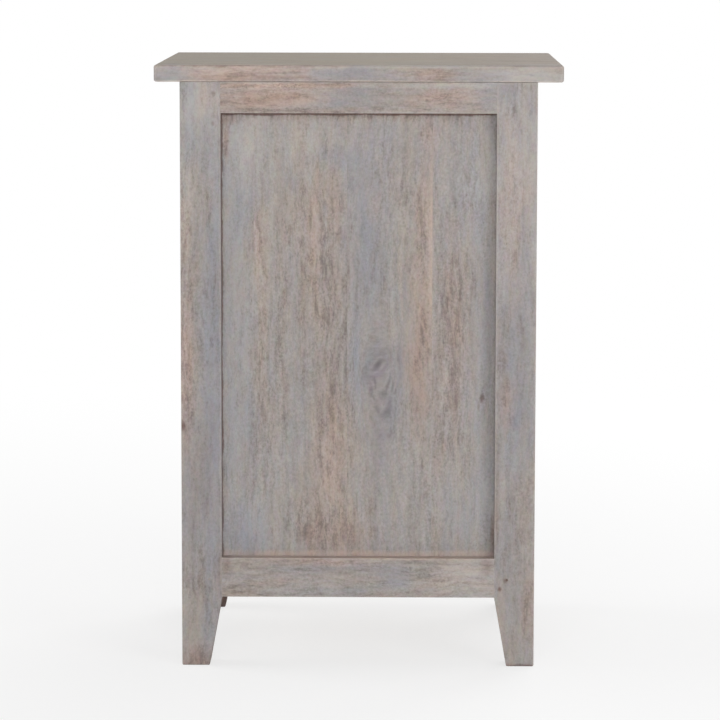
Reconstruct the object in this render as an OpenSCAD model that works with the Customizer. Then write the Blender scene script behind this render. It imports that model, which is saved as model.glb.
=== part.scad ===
// A bedside nightstand in solid wood: a frame-and-panel case on four tapered
// feet, with three inset drawers on wooden runners.
// +Z is up and the drawers open towards -Y. The origin is on the floor, under
// the middle of the top board. Left and right are as seen from the front.

/* [Case] */
// Height from the floor to the top face
overall_h = 600; // [540:5:680]
// Height of the bottom rails above the floor, where the feet begin to taper
floor_gap = 70; // [50:1:110]

/* [Top board] */
// Width of the top board
top_w = 403; // [360:1:480]
// Depth of the top board
top_d = 350; // [310:1:420]
// Thickness of the top board
top_t = 16.5; // [14:0.5:24]
// How far the top board stands past each side
side_overhang = 25.5; // [10:0.5:40]
// How far the top board stands past the front; it is flush with the back
front_overhang = 25.5; // [25:0.5:40]
// Radius of the top board's corners, seen from above
top_corner_r = 5; // [3:0.5:10]
// Radius of the top board's eased edges
top_edge_r = 2.25; // [0.5:0.25:2.75]

/* [Legs] */
// Side of a leg's square section
leg_w = 40; // [38:1:50]
// Side of a foot at the floor, after the taper of its two inner faces
foot_w = 27.5; // [20:0.5:36]
// Radius of a leg's outer edge
leg_edge_r = 2; // [0.5:0.25:4]
// Radius of the eased edge round the bottom of a foot
foot_edge_r = 2; // [0.5:0.25:3]

/* [Frames and panels] */
// Thickness of the rails in the sides and the back
rail_t = 25; // [23:0.5:30]
// Height of the top rails
top_rail_h = 30.5; // [28:0.5:45]
// Height of the bottom rails
bottom_rail_h = 39.5; // [32:0.5:55]
// Depth from a frame's outer face to its panel
panel_recess = 13; // [9:0.5:14]
// Thickness of a floating panel
panel_t = 7; // [5:0.5:8]
// Depth of the groove that holds a panel
groove_depth = 8; // [5:0.5:9]
// Play between a panel and the sides of its groove
panel_play = 0.1; // [0.05:0.05:0.3]
// Empty groove left for a panel to swell, beside it and above it
panel_swell = 1.5; // [0.5:0.25:3]

/* [Tenons and pins] */
// Thickness of a tenon
tenon_t = 8; // [6:0.5:9]
// Shoulder above and below a tenon
tenon_shoulder = 4; // [2:0.5:5]
// Wood left in a leg between the ends of two tenons
tenon_wall = 1.5; // [1:0.25:3]
// Empty depth in a mortise beyond its tenon
mortise_spare = 0.5; // [0.25:0.25:0.75]
// Diameter of a pin through a tenon
pin_d = 2.5; // [1.5:0.25:4]
// Length of a pin
pin_len = 24; // [22:0.5:26]
// Distance of a top rail's or a divider's pin from its shoulder
top_pin_inset = 6.5; // [4:0.5:9]
// Distance of a bottom rail's pin from its shoulder
bottom_pin_inset = 12.5; // [6:0.5:13]

/* [Front rails] */
// Depth of the front rails and of the drawer dividers
front_rail_d = 22; // [20:0.5:24]
// Height of a drawer divider
divider_h = 18; // [16:0.5:24]

/* [Runners, cleats and stops] */
// Width of a runner or cleat
runner_w = 18; // [15:0.5:24]
// Height of a drawer runner
runner_h = 18; // [15:0.5:18]
// Length of a runner's stub tenon
stub_len = 6; // [4:0.5:9]
// Thickness of a runner's stub tenon
stub_t = 6; // [4:0.5:8]
// Length of a drawer stop
stop_len = 12; // [10:0.5:20]
// Height of a drawer stop
stop_h = 10; // [6:0.5:14]

/* [Drawers] */
// Reveal round a drawer front
drawer_reveal = 1.5; // [1:0.25:3]
// Thickness of a drawer front
front_t = 18; // [15:0.5:22]
// Radius of a drawer front's eased edges
front_edge_r = 1; // [0.5:0.25:3]
// Thickness of a drawer side
side_t = 12; // [10:0.5:15]
// Thickness of a drawer back
back_t = 12; // [10:0.5:15]
// Thickness of a drawer bottom
bottom_t = 5; // [4:0.5:8]
// How far a drawer side ends below the top of its front
side_drop = 6; // [3:0.5:12]
// How far a drawer back ends below the top of the sides
back_drop = 4; // [2:0.5:10]
// Height of the groove for the bottom above the lower edge
bottom_groove_z = 8; // [6:0.5:12]
// Depth of the groove for the bottom
bottom_groove_depth = 5; // [3:0.5:7]
// Play of a drawer bottom in its groove
bottom_play = 0.2; // [0.1:0.05:0.4]
// Diameter of the brads that hold a drawer bottom to the back
brad_d = 1.6; // [1.2:0.1:2.2]
// Length of those brads
brad_len = 22; // [16:1:30]
// Number of those brads
brad_count = 3; // [2:1:5]
// Gap between a drawer and its runners
run_gap = 0.3; // [0.2:0.05:0.6]
// Gap between a closed drawer and its stops
stop_gap = 0.3; // [0.2:0.05:0.6]

/* [Dovetails] */
// Wood in front of the half-blind tails
lap = 5; // [4:0.5:7]
// Number of tails in a front joint
front_tails = 4; // [3:1:6]
// Number of tails in a back joint
back_tails = 3; // [2:1:5]
// Width of a pin at its narrow side
dovetail_pin_w = 7; // [5:0.5:9]
// Slope of a tail, as width gained per unit of length
dovetail_slope = 0.14; // [0.1:0.01:0.18]

/* [Knobs] */
// Diameter of a knob's head
knob_d = 30; // [24:1:36]
// How far a knob stands out
knob_len = 24; // [20:0.5:25]
// Diameter of a knob's foot
knob_foot_d = 20; // [16:0.5:23]
// Diameter of a knob's neck
knob_neck_d = 13; // [11:0.5:15]
// Diameter of the screw that holds a knob
knob_screw_d = 4; // [3:0.5:5]
// Depth of the screw's hole in a knob
knob_bore = 14; // [8:0.5:16]
// Diameter of the knob screw's head
knob_screw_head_d = 9; // [7:0.5:10]
// Thickness of the knob screw's head
knob_screw_head_t = 2.5; // [2:0.25:3]

/* [Wood screws] */
// Diameter of a wood screw
screw_d = 4; // [3:0.5:5]
// Diameter of a wood screw's countersunk head
screw_head_d = 8; // [6.5:0.5:9]
// Length of the screws that hold runners and cleats to the legs
runner_screw_len = 30; // [24:1:32]
// Length of the screws that hold the top board
top_screw_len = 30; // [26:1:34]
// Depth of the hole that sinks a top board screw into its cleat
top_screw_sink = 12; // [8:0.5:14]
// Distance of a top board screw from the cleat's end
top_screw_inset = 60; // [40:1:90]

/* [Hidden] */
$fn = 48;
thin_fn = 24; // for screws, brads, pins and their holes
cut = 1; // how far a cutting shape runs past the face that it opens

limed = [0.62, 0.59, 0.58];
bare = [0.72, 0.60, 0.47];
steel = [0.55, 0.55, 0.57];

// The case under the top board
body_w = top_w - 2 * side_overhang;
body_front = -top_d / 2 + front_overhang;
body_back = top_d / 2;
body_d = body_back - body_front;
body_mid = (body_back + body_front) / 2;
body_top = overall_h - top_t;

// Clear widths between the legs
between_w = body_w - 2 * leg_w;
between_d = body_d - 2 * leg_w;

// The opening between the top and bottom rails, shared by all four faces
open_low = floor_gap + bottom_rail_h;
open_high = body_top - top_rail_h;

// A tenon lies in line with the panel's groove and stops short of the tenon
// that enters the same leg from the other frame
tenon_setback = panel_recess + panel_t / 2 - tenon_t / 2;
tenon_len = leg_w - tenon_setback - tenon_t - tenon_wall;

// Drawer openings, counted from the lowest
levels = [0, 1, 2];
level_names = ["lower", "middle", "upper"];
opening_h = (open_high - open_low - 2 * divider_h) / 3;
function opening_z(i) = open_low + i * (opening_h + divider_h);

// A drawer, in its own frame: front face at y = 0, lower edge at z = 0
drawer_w = between_w - 2 * drawer_reveal;
drawer_inner_w = drawer_w - 2 * side_t;
drawer_h = opening_h - 2 * drawer_reveal;
drawer_len = body_d - rail_t - stop_len - stop_gap;
side_h = drawer_h - side_drop;
back_z = bottom_groove_z + bottom_t + bottom_play;
back_h = side_h - back_drop - back_z;
function drawer_z(i) = opening_z(i) + drawer_reveal;
function runner_z(i) = drawer_z(i) - run_gap - runner_h;

// Runners and cleats lie against the legs, from the front rails to the back rails
runner_x = between_w / 2 - runner_w / 2;
runner_front = body_front + front_rail_d;
runner_back = body_back - rail_t;
runner_screw_y = [body_front + (front_rail_d + leg_w) / 2, body_back - (rail_t + leg_w) / 2];
cleat_screw_z = (open_high + body_top) / 2;

// Where nodes lie: left is -1 and right is 1, front is -1 and back is 1
sides = [["left", -1], ["right", 1]];
ends = [["front", -1], ["back", 1]];

drawer_pieces =
    ["front", "left_side", "right_side", "back", "bottom", "bottom_brads", "knob", "knob_screw"];

// Placing shapes that are drawn with the outer face at y = 0 and the wood at -y

module on_back() {
    translate([0, body_back, 0]) children();
}

module on_side(s) {
    translate([s * body_w / 2, body_mid, 0]) rotate([0, 0, -90 * s]) children();
}

module on_front() {
    translate([0, body_front, 0]) rotate([0, 0, 180]) children();
}

// Basic shapes

// Flat outline with rounded corners, centred
module rounded_outline(w, d, r) {
    union() {
        square([w - 2 * r, d], center = true);
        square([w, d - 2 * r], center = true);
        for (x = [-1, 1], y = [-1, 1])
            translate([x * (w / 2 - r), y * (d / 2 - r)]) circle(r);
    }
}

// Board that lies on z = 0, with rounded corners and its edges eased all the way round
module eased_board(w, d, t, corner_r, edge_r) {
    translate([0, 0, t / 2]) union() {
        rotate([90, 0, 0]) linear_extrude(d - 2 * corner_r, center = true) rounded_outline(w, t, edge_r);
        rotate([90, 0, 90]) linear_extrude(w - 2 * corner_r, center = true) rounded_outline(d, t, edge_r);
        for (x = [-1, 1], y = [-1, 1])
            translate([x * (w / 2 - corner_r), y * (d / 2 - corner_r), 0])
                rotate_extrude($fn = 32) intersection() {
                    rounded_outline(2 * corner_r, t, edge_r);
                    translate([0, -t / 2]) square([corner_r, t]);
                }
    }
}

// Countersunk wood screw with its head's face at z = 0, driven towards +z
module wood_screw(len) {
    head = (screw_head_d - screw_d) / 2;
    union() {
        cylinder(head, d1 = screw_head_d, d2 = screw_d, $fn = thin_fn);
        cylinder(len - screw_d, d = screw_d, $fn = thin_fn);
        translate([0, 0, len - screw_d]) cylinder(screw_d, d1 = screw_d, d2 = 0.5, $fn = thin_fn);
    }
}

// Frames: rails, panels and the joinery that they share with the legs

// Height span of a rail's tenon: the groove's depth is left off on the panel's side
function tenon_span(top) = top
    ? [open_high + groove_depth, body_top - tenon_shoulder]
    : [floor_gap + tenon_shoulder, open_low - groove_depth];
function middle(span) = (span[0] + span[1]) / 2;

// The two tenons of a rail between legs that are `between` apart
module tenons(between, setback, span, spare = 0) {
    len = tenon_len + spare;
    for (s = [-1, 1])
        translate([s * (between + len) / 2, -setback - tenon_t / 2, middle(span)])
            cube([len, tenon_t, span[1] - span[0]], center = true);
}

// Groove all round a frame's opening, as one slab to be cut away
module panel_slot(between) {
    translate([
        -between / 2 - groove_depth,
        -panel_recess - panel_t - panel_play,
        open_low - groove_depth
    ])
        cube([
            between + 2 * groove_depth,
            panel_t + 2 * panel_play,
            open_high - open_low + 2 * groove_depth
        ]);
}

module frame_rail(between, top) {
    color(limed) difference() {
        union() {
            translate([-between / 2, -rail_t, top ? open_high : floor_gap])
                cube([between, rail_t, top ? top_rail_h : bottom_rail_h]);
            tenons(between, tenon_setback, tenon_span(top));
        }
        panel_slot(between);
        frame_pins(between);
    }
}

// The panel stands on the bottom rail's groove and is loose in the other three
module frame_panel(between) {
    room = groove_depth - panel_swell;
    color(limed)
        translate([-between / 2 - room, -panel_recess - panel_t, open_low - groove_depth])
            cube([between + 2 * room, panel_t, open_high - open_low + groove_depth + room]);
}

// A pin driven in from the outer face at y = 0, near each end of a rail
module pin_pair(between, inset, z) {
    for (s = [-1, 1])
        translate([s * (between / 2 + inset), 0, z])
            rotate([90, 0, 0]) cylinder(pin_len, d = pin_d, $fn = thin_fn);
}

module frame_pins(between) {
    pin_pair(between, top_pin_inset, middle(tenon_span(true)));
    pin_pair(between, bottom_pin_inset, middle(tenon_span(false)));
}

// Front rails and dividers, each a [lower edge, upper edge] pair
front_top_span = [open_high, body_top];
front_bottom_span = [floor_gap, open_low];
function divider_span(i) = [opening_z(i) - divider_h, opening_z(i)];
front_spans = [front_bottom_span, divider_span(1), divider_span(2), front_top_span];
front_setback = (front_rail_d - tenon_t) / 2;
function shoulders(span) = [span[0] + tenon_shoulder, span[1] - tenon_shoulder];

module front_pins() {
    for (span = front_spans)
        pin_pair(between_w, span == front_bottom_span ? bottom_pin_inset : top_pin_inset, middle(span));
}

module front_rail(span) {
    color(limed) difference() {
        on_front() union() {
            translate([-between_w / 2, -front_rail_d, span[0]])
                cube([between_w, front_rail_d, span[1] - span[0]]);
            tenons(between_w, front_setback, shoulders(span));
        }
        on_front() front_pins();
        for (i = levels, s = [-1, 1]) runner_stub(i, s);
    }
}

// Everything that is cut into the legs, in the case's own frame
module leg_joinery() {
    for (top = [true, false]) {
        on_back() tenons(between_w, tenon_setback, tenon_span(top), mortise_spare);
        for (s = [-1, 1]) on_side(s) tenons(between_d, tenon_setback, tenon_span(top), mortise_spare);
    }
    for (span = front_spans)
        on_front() tenons(between_w, front_setback, shoulders(span), mortise_spare);
    on_back() panel_slot(between_w);
    for (s = [-1, 1]) on_side(s) panel_slot(between_d);
    tenon_pins();
    runner_screws();
}

// Side view of a leg with its outer edge at x = 0: tapered foot, eased at the floor
module leg_profile() {
    lean = atan((leg_w - foot_w) / floor_gap);
    run = foot_edge_r / tan(45 + lean / 2);
    union() {
        polygon([
            [0, foot_edge_r], [0, body_top], [-leg_w, body_top], [-leg_w, floor_gap],
            [-foot_w - run * sin(lean), run * cos(lean)], [-foot_w + run, 0], [-foot_edge_r, 0]
        ]);
        for (x = [-foot_edge_r, run - foot_w]) translate([x, foot_edge_r]) circle(foot_edge_r);
    }
}

// Leg with its outer corner at the origin and its wood at -x and -y
module leg_blank() {
    intersection() {
        linear_extrude(body_top) union() {
            translate([-leg_w, -leg_w]) square([leg_w - leg_edge_r, leg_w]);
            translate([-leg_w, -leg_w]) square([leg_w, leg_w - leg_edge_r]);
            translate([-leg_edge_r, -leg_edge_r]) circle(leg_edge_r);
        }
        rotate([90, 0, 0]) linear_extrude(leg_w) leg_profile();
        rotate([90, 0, 90]) translate([0, 0, -leg_w]) linear_extrude(leg_w) leg_profile();
    }
}

module leg(end, side) {
    color(limed) difference() {
        translate([side * body_w / 2, end < 0 ? body_front : body_back, 0])
            mirror([side < 0 ? 1 : 0, 0, 0]) mirror([0, end < 0 ? 1 : 0, 0]) leg_blank();
        leg_joinery();
    }
}

// Top board, with the screws' holes in its underside
module top_board() {
    color(limed) difference() {
        translate([0, 0, body_top]) eased_board(top_w, top_d, top_t, top_corner_r, top_edge_r);
        top_board_screws();
    }
}

// Runners, cleats, stops and their screws

module runner_stub(i, s) {
    width = runner_w - 2 * tenon_shoulder;
    translate([s * runner_x - width / 2, runner_front - stub_len, runner_z(i) + (runner_h - stub_t) / 2])
        cube([width, stub_len, stub_t]);
}

module runner(i, s) {
    color(bare) difference() {
        union() {
            translate([s * runner_x - runner_w / 2, runner_front, runner_z(i)])
                cube([runner_w, runner_back - runner_front, runner_h]);
            runner_stub(i, s);
        }
        runner_screws();
    }
}

module top_cleat(s) {
    color(bare) difference() {
        translate([s * runner_x - runner_w / 2, runner_front, open_high])
            cube([runner_w, runner_back - runner_front, top_rail_h]);
        runner_screws();
        top_board_screws();
        for (y = top_screw_y())
            translate([s * runner_x, y, open_high - cut])
                cylinder(top_screw_sink + cut, d = screw_head_d, $fn = thin_fn);
    }
}

// Block that a drawer's side meets when the drawer is shut
module drawer_stop(i, s) {
    color(bare)
        translate([s * runner_x - runner_w / 2, runner_back - stop_len, runner_z(i) + runner_h])
            cube([runner_w, stop_len, stop_h]);
}

module runner_screws() {
    heights = concat([for (i = levels) runner_z(i) + runner_h / 2], [cleat_screw_z]);
    color(steel) for (s = [-1, 1], y = runner_screw_y, z = heights)
        translate([s * (between_w / 2 - runner_w), y, z])
            rotate([0, 90 * s, 0]) wood_screw(runner_screw_len);
}

function top_screw_y() = [runner_front + top_screw_inset, runner_back - top_screw_inset];

module top_board_screws() {
    color(steel) for (s = [-1, 1], y = top_screw_y())
        translate([s * runner_x, y, open_high + top_screw_sink]) wood_screw(top_screw_len);
}

module tenon_pins() {
    color(bare) {
        on_back() frame_pins(between_w);
        for (s = [-1, 1]) on_side(s) frame_pins(between_d);
        on_front() front_pins();
    }
}

// Drawers

module in_drawer(i) {
    translate([0, body_front, drawer_z(i)]) children();
}

// Row of dovetails on a board of thickness t: roots at y = 0, tips at y = len
module tails(count, height, len, t) {
    pitch = height / count;
    tip = (pitch - dovetail_pin_w) / 2;
    root = tip - len * dovetail_slope;
    for (k = [0.5:count])
        translate([-t / 2, 0, k * pitch]) rotate([90, 0, 90]) linear_extrude(t)
            polygon([[0, -root], [len, -tip], [len, tip], [0, root]]);
}

module front_joint(s) {
    translate([s * (drawer_w - side_t) / 2, front_t, 0])
        mirror([0, 1, 0]) tails(front_tails, side_h, front_t - lap, side_t);
}

module back_joint(s) {
    translate([s * (drawer_w - side_t) / 2, drawer_len - back_t, back_z])
        tails(back_tails, back_h, back_t, side_t);
}

// Groove for the bottom, open at the rear, under the drawer's back
module bottom_groove() {
    w = drawer_inner_w + 2 * bottom_groove_depth;
    y = front_t - bottom_groove_depth;
    translate([-w / 2, y, bottom_groove_z]) cube([w, drawer_len - y + cut, bottom_t + bottom_play]);
}

module knob_screw_shank() {
    translate([0, front_t, drawer_h / 2])
        rotate([90, 0, 0]) cylinder(front_t + knob_bore, d = knob_screw_d, $fn = thin_fn);
}

module drawer_front(i) {
    color(limed) in_drawer(i) difference() {
        intersection() {
            linear_extrude(drawer_h) front_section(drawer_w);
            translate([0, 0, drawer_h / 2]) rotate([0, 90, 0])
                linear_extrude(drawer_w, center = true) front_section(drawer_h);
        }
        for (s = [-1, 1]) front_joint(s);
        bottom_groove();
        knob_screw_shank();
    }
}

// Section of a drawer front of the given width: eased at the front only
module front_section(w) {
    union() {
        translate([-w / 2, front_edge_r]) square([w, front_t - front_edge_r]);
        translate([-w / 2 + front_edge_r, 0]) square([w - 2 * front_edge_r, front_t]);
        for (s = [-1, 1]) translate([s * (w / 2 - front_edge_r), front_edge_r]) circle(front_edge_r);
    }
}

module drawer_side(i, s) {
    color(bare) in_drawer(i) difference() {
        union() {
            translate([s * (drawer_w - side_t) / 2 - side_t / 2, front_t, 0])
                cube([side_t, drawer_len - front_t - back_t, side_h]);
            front_joint(s);
            back_joint(s);
            for (span = [[0, back_z], [back_z + back_h, side_h]])
                translate([s * (drawer_w - side_t) / 2 - side_t / 2, drawer_len - back_t, span[0]])
                    cube([side_t, back_t, span[1] - span[0]]);
        }
        bottom_groove();
    }
}

module drawer_back(i) {
    color(bare) in_drawer(i) difference() {
        translate([-drawer_w / 2, drawer_len - back_t, back_z]) cube([drawer_w, back_t, back_h]);
        for (s = [-1, 1]) back_joint(s);
        bottom_brads();
    }
}

module drawer_bottom(i) {
    w = drawer_inner_w + 2 * (bottom_groove_depth - bottom_play);
    y = front_t - bottom_groove_depth + bottom_play;
    color(bare) in_drawer(i) difference() {
        translate([-w / 2, y, bottom_groove_z]) cube([w, drawer_len - y, bottom_t]);
        bottom_brads();
    }
}

// Brads driven up through the bottom into the back
module bottom_brads() {
    spacing = drawer_inner_w / brad_count;
    for (k = [0.5:brad_count])
        translate([k * spacing - drawer_inner_w / 2, drawer_len - back_t / 2, bottom_groove_z])
            cylinder(brad_len, d = brad_d, $fn = thin_fn);
}

module drawer_bottom_brads(i) {
    color(steel) in_drawer(i) bottom_brads();
}

// Turned knob: a foot, a hollow neck and a domed head
module drawer_knob(i) {
    head_t = knob_len / 2;
    color(limed) in_drawer(i) translate([0, 0, drawer_h / 2]) rotate([90, 0, 0]) difference() {
        rotate_extrude($fn = 36) knob_profile(head_t);
        translate([0, 0, -cut]) cylinder(knob_bore + cut, d = knob_screw_d, $fn = thin_fn);
    }
}

// Half section of the knob, from the axis outwards and from the foot upwards
module knob_profile(head_t) {
    steps = 12;
    foot_r = knob_foot_d / 2;
    neck_r = knob_neck_d / 2;
    head_r = knob_d / 2;
    hollow = knob_len - head_t;
    polygon(concat(
        [[0, 0], [foot_r, 0]],
        [for (k = [0:steps]) let (a = 180 * k / steps)
            [neck_r + (a < 90 ? foot_r - neck_r : head_r * 0.8 - neck_r) * (1 - sin(a)), hollow * k / steps]],
        [for (k = [0:steps]) let (a = -35 + 125 * k / steps)
            [head_r * cos(a), hollow + head_t * (sin(a) + sin(35)) / (1 + sin(35))]]
    ));
}

module drawer_knob_screw(i) {
    color(steel) in_drawer(i) union() {
        knob_screw_shank();
        translate([0, front_t + knob_screw_head_t, drawer_h / 2])
            rotate([90, 0, 0]) cylinder(knob_screw_head_t, d = knob_screw_head_d, $fn = thin_fn);
    }
}

// The nodes

top_board();
for (e = ends, s = sides)
    leg(e[1], s[1]);

on_back() frame_rail(between_w, true);  // back_top_rail
on_back() frame_rail(between_w, false);  // back_bottom_rail
on_back() frame_panel(between_w);  // back_panel
for (s = sides) {
    on_side(s[1]) frame_rail(between_d, true);
    on_side(s[1]) frame_rail(between_d, false);
    on_side(s[1]) frame_panel(between_d);
}

front_rail(front_top_span);  // front_top_rail
front_rail(divider_span(2));  // upper_divider
front_rail(divider_span(1));  // lower_divider
front_rail(front_bottom_span);  // front_bottom_rail

for (i = levels, s = sides) {
    runner(i, s[1]);
    drawer_stop(i, s[1]);
}
for (s = sides)
    top_cleat(s[1]);
runner_screws();
top_board_screws();
tenon_pins();

for (i = levels) {
    drawer_front(i);
    drawer_side(i, -1);
    drawer_side(i, 1);
    drawer_back(i);
    drawer_bottom(i);
    drawer_bottom_brads(i);
    drawer_knob(i);
    drawer_knob_screw(i);
}
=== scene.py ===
import random

import bpy
from mathutils import Matrix, Vector


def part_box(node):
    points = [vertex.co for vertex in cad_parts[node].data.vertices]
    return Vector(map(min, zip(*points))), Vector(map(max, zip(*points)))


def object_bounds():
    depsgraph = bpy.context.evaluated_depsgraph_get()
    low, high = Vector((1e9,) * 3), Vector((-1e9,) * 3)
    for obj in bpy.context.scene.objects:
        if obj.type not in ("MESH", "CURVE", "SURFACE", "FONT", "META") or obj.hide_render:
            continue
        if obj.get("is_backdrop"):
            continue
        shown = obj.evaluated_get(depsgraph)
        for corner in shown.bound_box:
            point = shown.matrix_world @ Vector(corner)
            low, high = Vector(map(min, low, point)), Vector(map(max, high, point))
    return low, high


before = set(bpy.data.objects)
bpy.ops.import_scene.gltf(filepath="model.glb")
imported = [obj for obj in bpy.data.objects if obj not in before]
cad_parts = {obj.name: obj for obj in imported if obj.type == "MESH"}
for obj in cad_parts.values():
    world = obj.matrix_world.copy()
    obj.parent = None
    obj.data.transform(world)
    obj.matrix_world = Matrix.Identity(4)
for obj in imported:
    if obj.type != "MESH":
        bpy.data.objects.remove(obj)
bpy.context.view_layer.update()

# Legs: four square hardwood posts whose two inner faces taper to small feet. The
# wood is brushed with grey-white limewash and rubbed back while wet, so that wash
# lies thick in some places and brown streaks and open pores show in others.


def tint(red, green, blue):
    """A colour as seen, 0 to 255, turned into what the shader takes."""
    return (*(((v / 255 + 0.055) / 1.055) ** 2.4 for v in (red, green, blue)), 1.0)


def place_node(tree, kind, sockets=None, **settings):
    """Adds a shader node. A socket takes a plain value or another node's output."""
    node = tree.nodes.new("ShaderNode" + kind)
    for name, value in settings.items():
        setattr(node, name, value)
    for name, value in (sockets or {}).items():
        if isinstance(value, bpy.types.NodeSocket):
            tree.links.new(value, node.inputs[name])
        else:
            node.inputs[name].default_value = value
    return node


def fill_group(tree, group, sockets):
    """A shader group placed in a material with its values, and its outputs."""
    return place_node(tree, "Group", sockets, node_tree=group).outputs


def reckon(tree, operation, *values):
    """One step of arithmetic on numbers."""
    return place_node(tree, "Math", dict(enumerate(values)), operation=operation).outputs[0]


def vector_step(tree, operation, *values):
    """One step of arithmetic on vectors."""
    return place_node(tree, "VectorMath", dict(enumerate(values)), operation=operation).outputs[0]


def length_of(tree, vector):
    """The length of a vector."""
    return place_node(tree, "VectorMath", {0: vector}, operation="LENGTH").outputs["Value"]


def axes_of(tree, vector):
    """The three numbers of a vector."""
    return place_node(tree, "SeparateXYZ", {0: vector}).outputs


def dim(tree, colour, factor):
    """A colour made lighter or darker by a factor."""
    return place_node(tree, "VectorMath", {0: colour, "Scale": factor}, operation="SCALE").outputs[0]


def lay_over(tree, share, under, over):
    """One colour laid over another by share."""
    return place_node(tree, "Mix", {0: share, 6: under, 7: over}, data_type="RGBA").outputs[2]


def ramp(tree, value, low, high, to_low=0.0, to_high=1.0):
    """Value taken smoothly from the range low..high to to_low..to_high."""
    sockets = {"Value": value, "From Min": low, "From Max": high, "To Min": to_low, "To Max": to_high}
    return place_node(tree, "MapRange", sockets, interpolation_type="SMOOTHSTEP").outputs[0]


def noise(tree, vector, cells, seed, detail=2.0, rough=0.5):
    """Noise with its own number of cells per metre along each axis."""
    sockets = {"Vector": vector_step(tree, "MULTIPLY", vector, cells), "W": seed, "Scale": 1.0,
               "Detail": detail, "Roughness": rough}
    return place_node(tree, "TexNoise", sockets, noise_dimensions="4D").outputs


def shift(tree, ragged, reach):
    """Coloured noise turned into a push to and fro, by half of reach each way."""
    return vector_step(tree, "MULTIPLY", vector_step(tree, "SUBTRACT", ragged, (0.5, 0.5, 0.5)), reach)


def begin_group(name, inputs, outputs):
    """An empty shader group with its sockets, each written as name:kind."""
    tree = bpy.data.node_groups.new(name, "ShaderNodeTree")
    for direction, sockets in (("INPUT", inputs), ("OUTPUT", outputs)):
        for socket in sockets:
            socket_name, kind = socket.split(":")
            tree.interface.new_socket(socket_name, in_out=direction, socket_type="NodeSocket" + kind)
    return tree, tree.nodes.new("NodeGroupInput").outputs, tree.nodes.new("NodeGroupOutput").inputs


def end_group(tree, made, values):
    """Links the results of a group to its output sockets, and gives the group."""
    for name, value in values.items():
        tree.links.new(value, made[name])
    return tree


def make_wood_figure():
    """Grain of a board whose length lies along x: streaks, fine mottling and open pores."""
    tree, given, made = begin_group(
        "Wood figure", ["Vector:Vector", "Seed:Float"],
        ["Streak:Float", "Mottle:Float", "Lines:Float", "Pore:Float", "Hue:Color", "Height:Float"])
    board, seed = given["Vector"], given["Seed"]

    def other_seed(step):
        """The seed of a pattern that differs from the board's first one."""
        return reckon(tree, "ADD", seed, step)

    # The grain wanders and ripples along the board
    wander = noise(tree, board, (5.0, 18.0, 18.0), seed)["Color"]
    ripple = noise(tree, board, (30.0, 70.0, 70.0), other_seed(3.0))["Color"]
    grain = vector_step(tree, "ADD", board, shift(tree, wander, (0.0, 0.014, 0.014)))
    grain = vector_step(tree, "ADD", grain, shift(tree, ripple, (0.0, 0.006, 0.006)))
    # Broad streaks, fine mottling and thin lines
    streak = noise(tree, grain, (15.0, 140.0, 140.0), seed, detail=5.0, rough=0.62)["Fac"]
    mottle = noise(tree, grain, (360.0, 440.0, 440.0), seed, detail=3.0, rough=0.6)["Fac"]
    lines = noise(tree, grain, (60.0, 320.0, 320.0), other_seed(5.0), detail=3.0, rough=0.6)["Fac"]
    # Open pores, short dashes and longer strokes that lie in clusters
    cluster = noise(tree, grain, (30.0, 150.0, 150.0), seed, detail=3.0)["Fac"]
    cluster = reckon(tree, "SUBTRACT", cluster, 0.5)
    dash = noise(tree, grain, (460.0, 1150.0, 1150.0), seed, detail=1.0)["Fac"]
    dash = ramp(tree, reckon(tree, "MULTIPLY_ADD", cluster, 0.6, dash), 0.50, 0.68)
    stroke = noise(tree, grain, (75.0, 320.0, 320.0), other_seed(9.0), detail=2.0, rough=0.6)["Fac"]
    stroke = ramp(tree, reckon(tree, "MULTIPLY_ADD", cluster, 0.8, stroke), 0.54, 0.70)
    pore = reckon(tree, "MAXIMUM", dash, reckon(tree, "MULTIPLY", stroke, 0.9))
    # Small changes of hue, from streak to streak and from place to place
    hue = noise(tree, grain, (110.0, 240.0, 240.0), other_seed(13.0), detail=4.0, rough=0.7)["Color"]
    hue = vector_step(tree, "MULTIPLY_ADD", hue, (0.27, 0.27, 0.27), (0.865, 0.865, 0.865))
    drift = noise(tree, grain, (16.0, 85.0, 85.0), other_seed(21.0), detail=3.0, rough=0.6)["Fac"]
    cool, warm = (0.965, 1.0, 1.040, 1.0), (1.035, 1.0, 0.960, 1.0)
    hue = vector_step(tree, "MULTIPLY", hue, lay_over(tree, ramp(tree, drift, 0.30, 0.70), cool, warm))
    height = reckon(tree, "MULTIPLY_ADD", mottle, 0.4, reckon(tree, "MULTIPLY", streak, 0.5))
    height = reckon(tree, "MULTIPLY_ADD", pore, -0.5, height)
    return end_group(tree, made, {
        "Streak": streak, "Mottle": mottle, "Lines": lines, "Pore": pore, "Hue": hue, "Height": height})


def make_limewash():
    """The coat of wash: clouds of blue-grey and pale over grey, and how bare it was rubbed."""
    tree, given, made = begin_group(
        "Limewash", ["Vector:Vector", "Seed:Float", "Grey:Color", "Blue:Color", "Pale:Color",
                     "Blue share:Float", "Pale share:Float", "Bare share:Float"],
        ["Wash:Color", "Bare:Float"])
    cloud = noise(tree, given["Vector"], (7.0, 26.0, 26.0), given["Seed"], detail=5.0, rough=0.62)["Color"]
    cloud = place_node(tree, "SeparateColor", {0: cloud}).outputs
    blue = reckon(tree, "MULTIPLY", ramp(tree, cloud[0], 0.42, 0.66), given["Blue share"])
    bare = reckon(tree, "MULTIPLY", ramp(tree, cloud[1], 0.40, 0.66), given["Bare share"])
    pale = reckon(tree, "MULTIPLY", ramp(tree, cloud[2], 0.50, 0.70), given["Pale share"])
    wash = lay_over(tree, blue, given["Grey"], given["Blue"])
    return end_group(tree, made, {"Wash": lay_over(tree, pale, wash, given["Pale"]), "Bare": bare})


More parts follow.
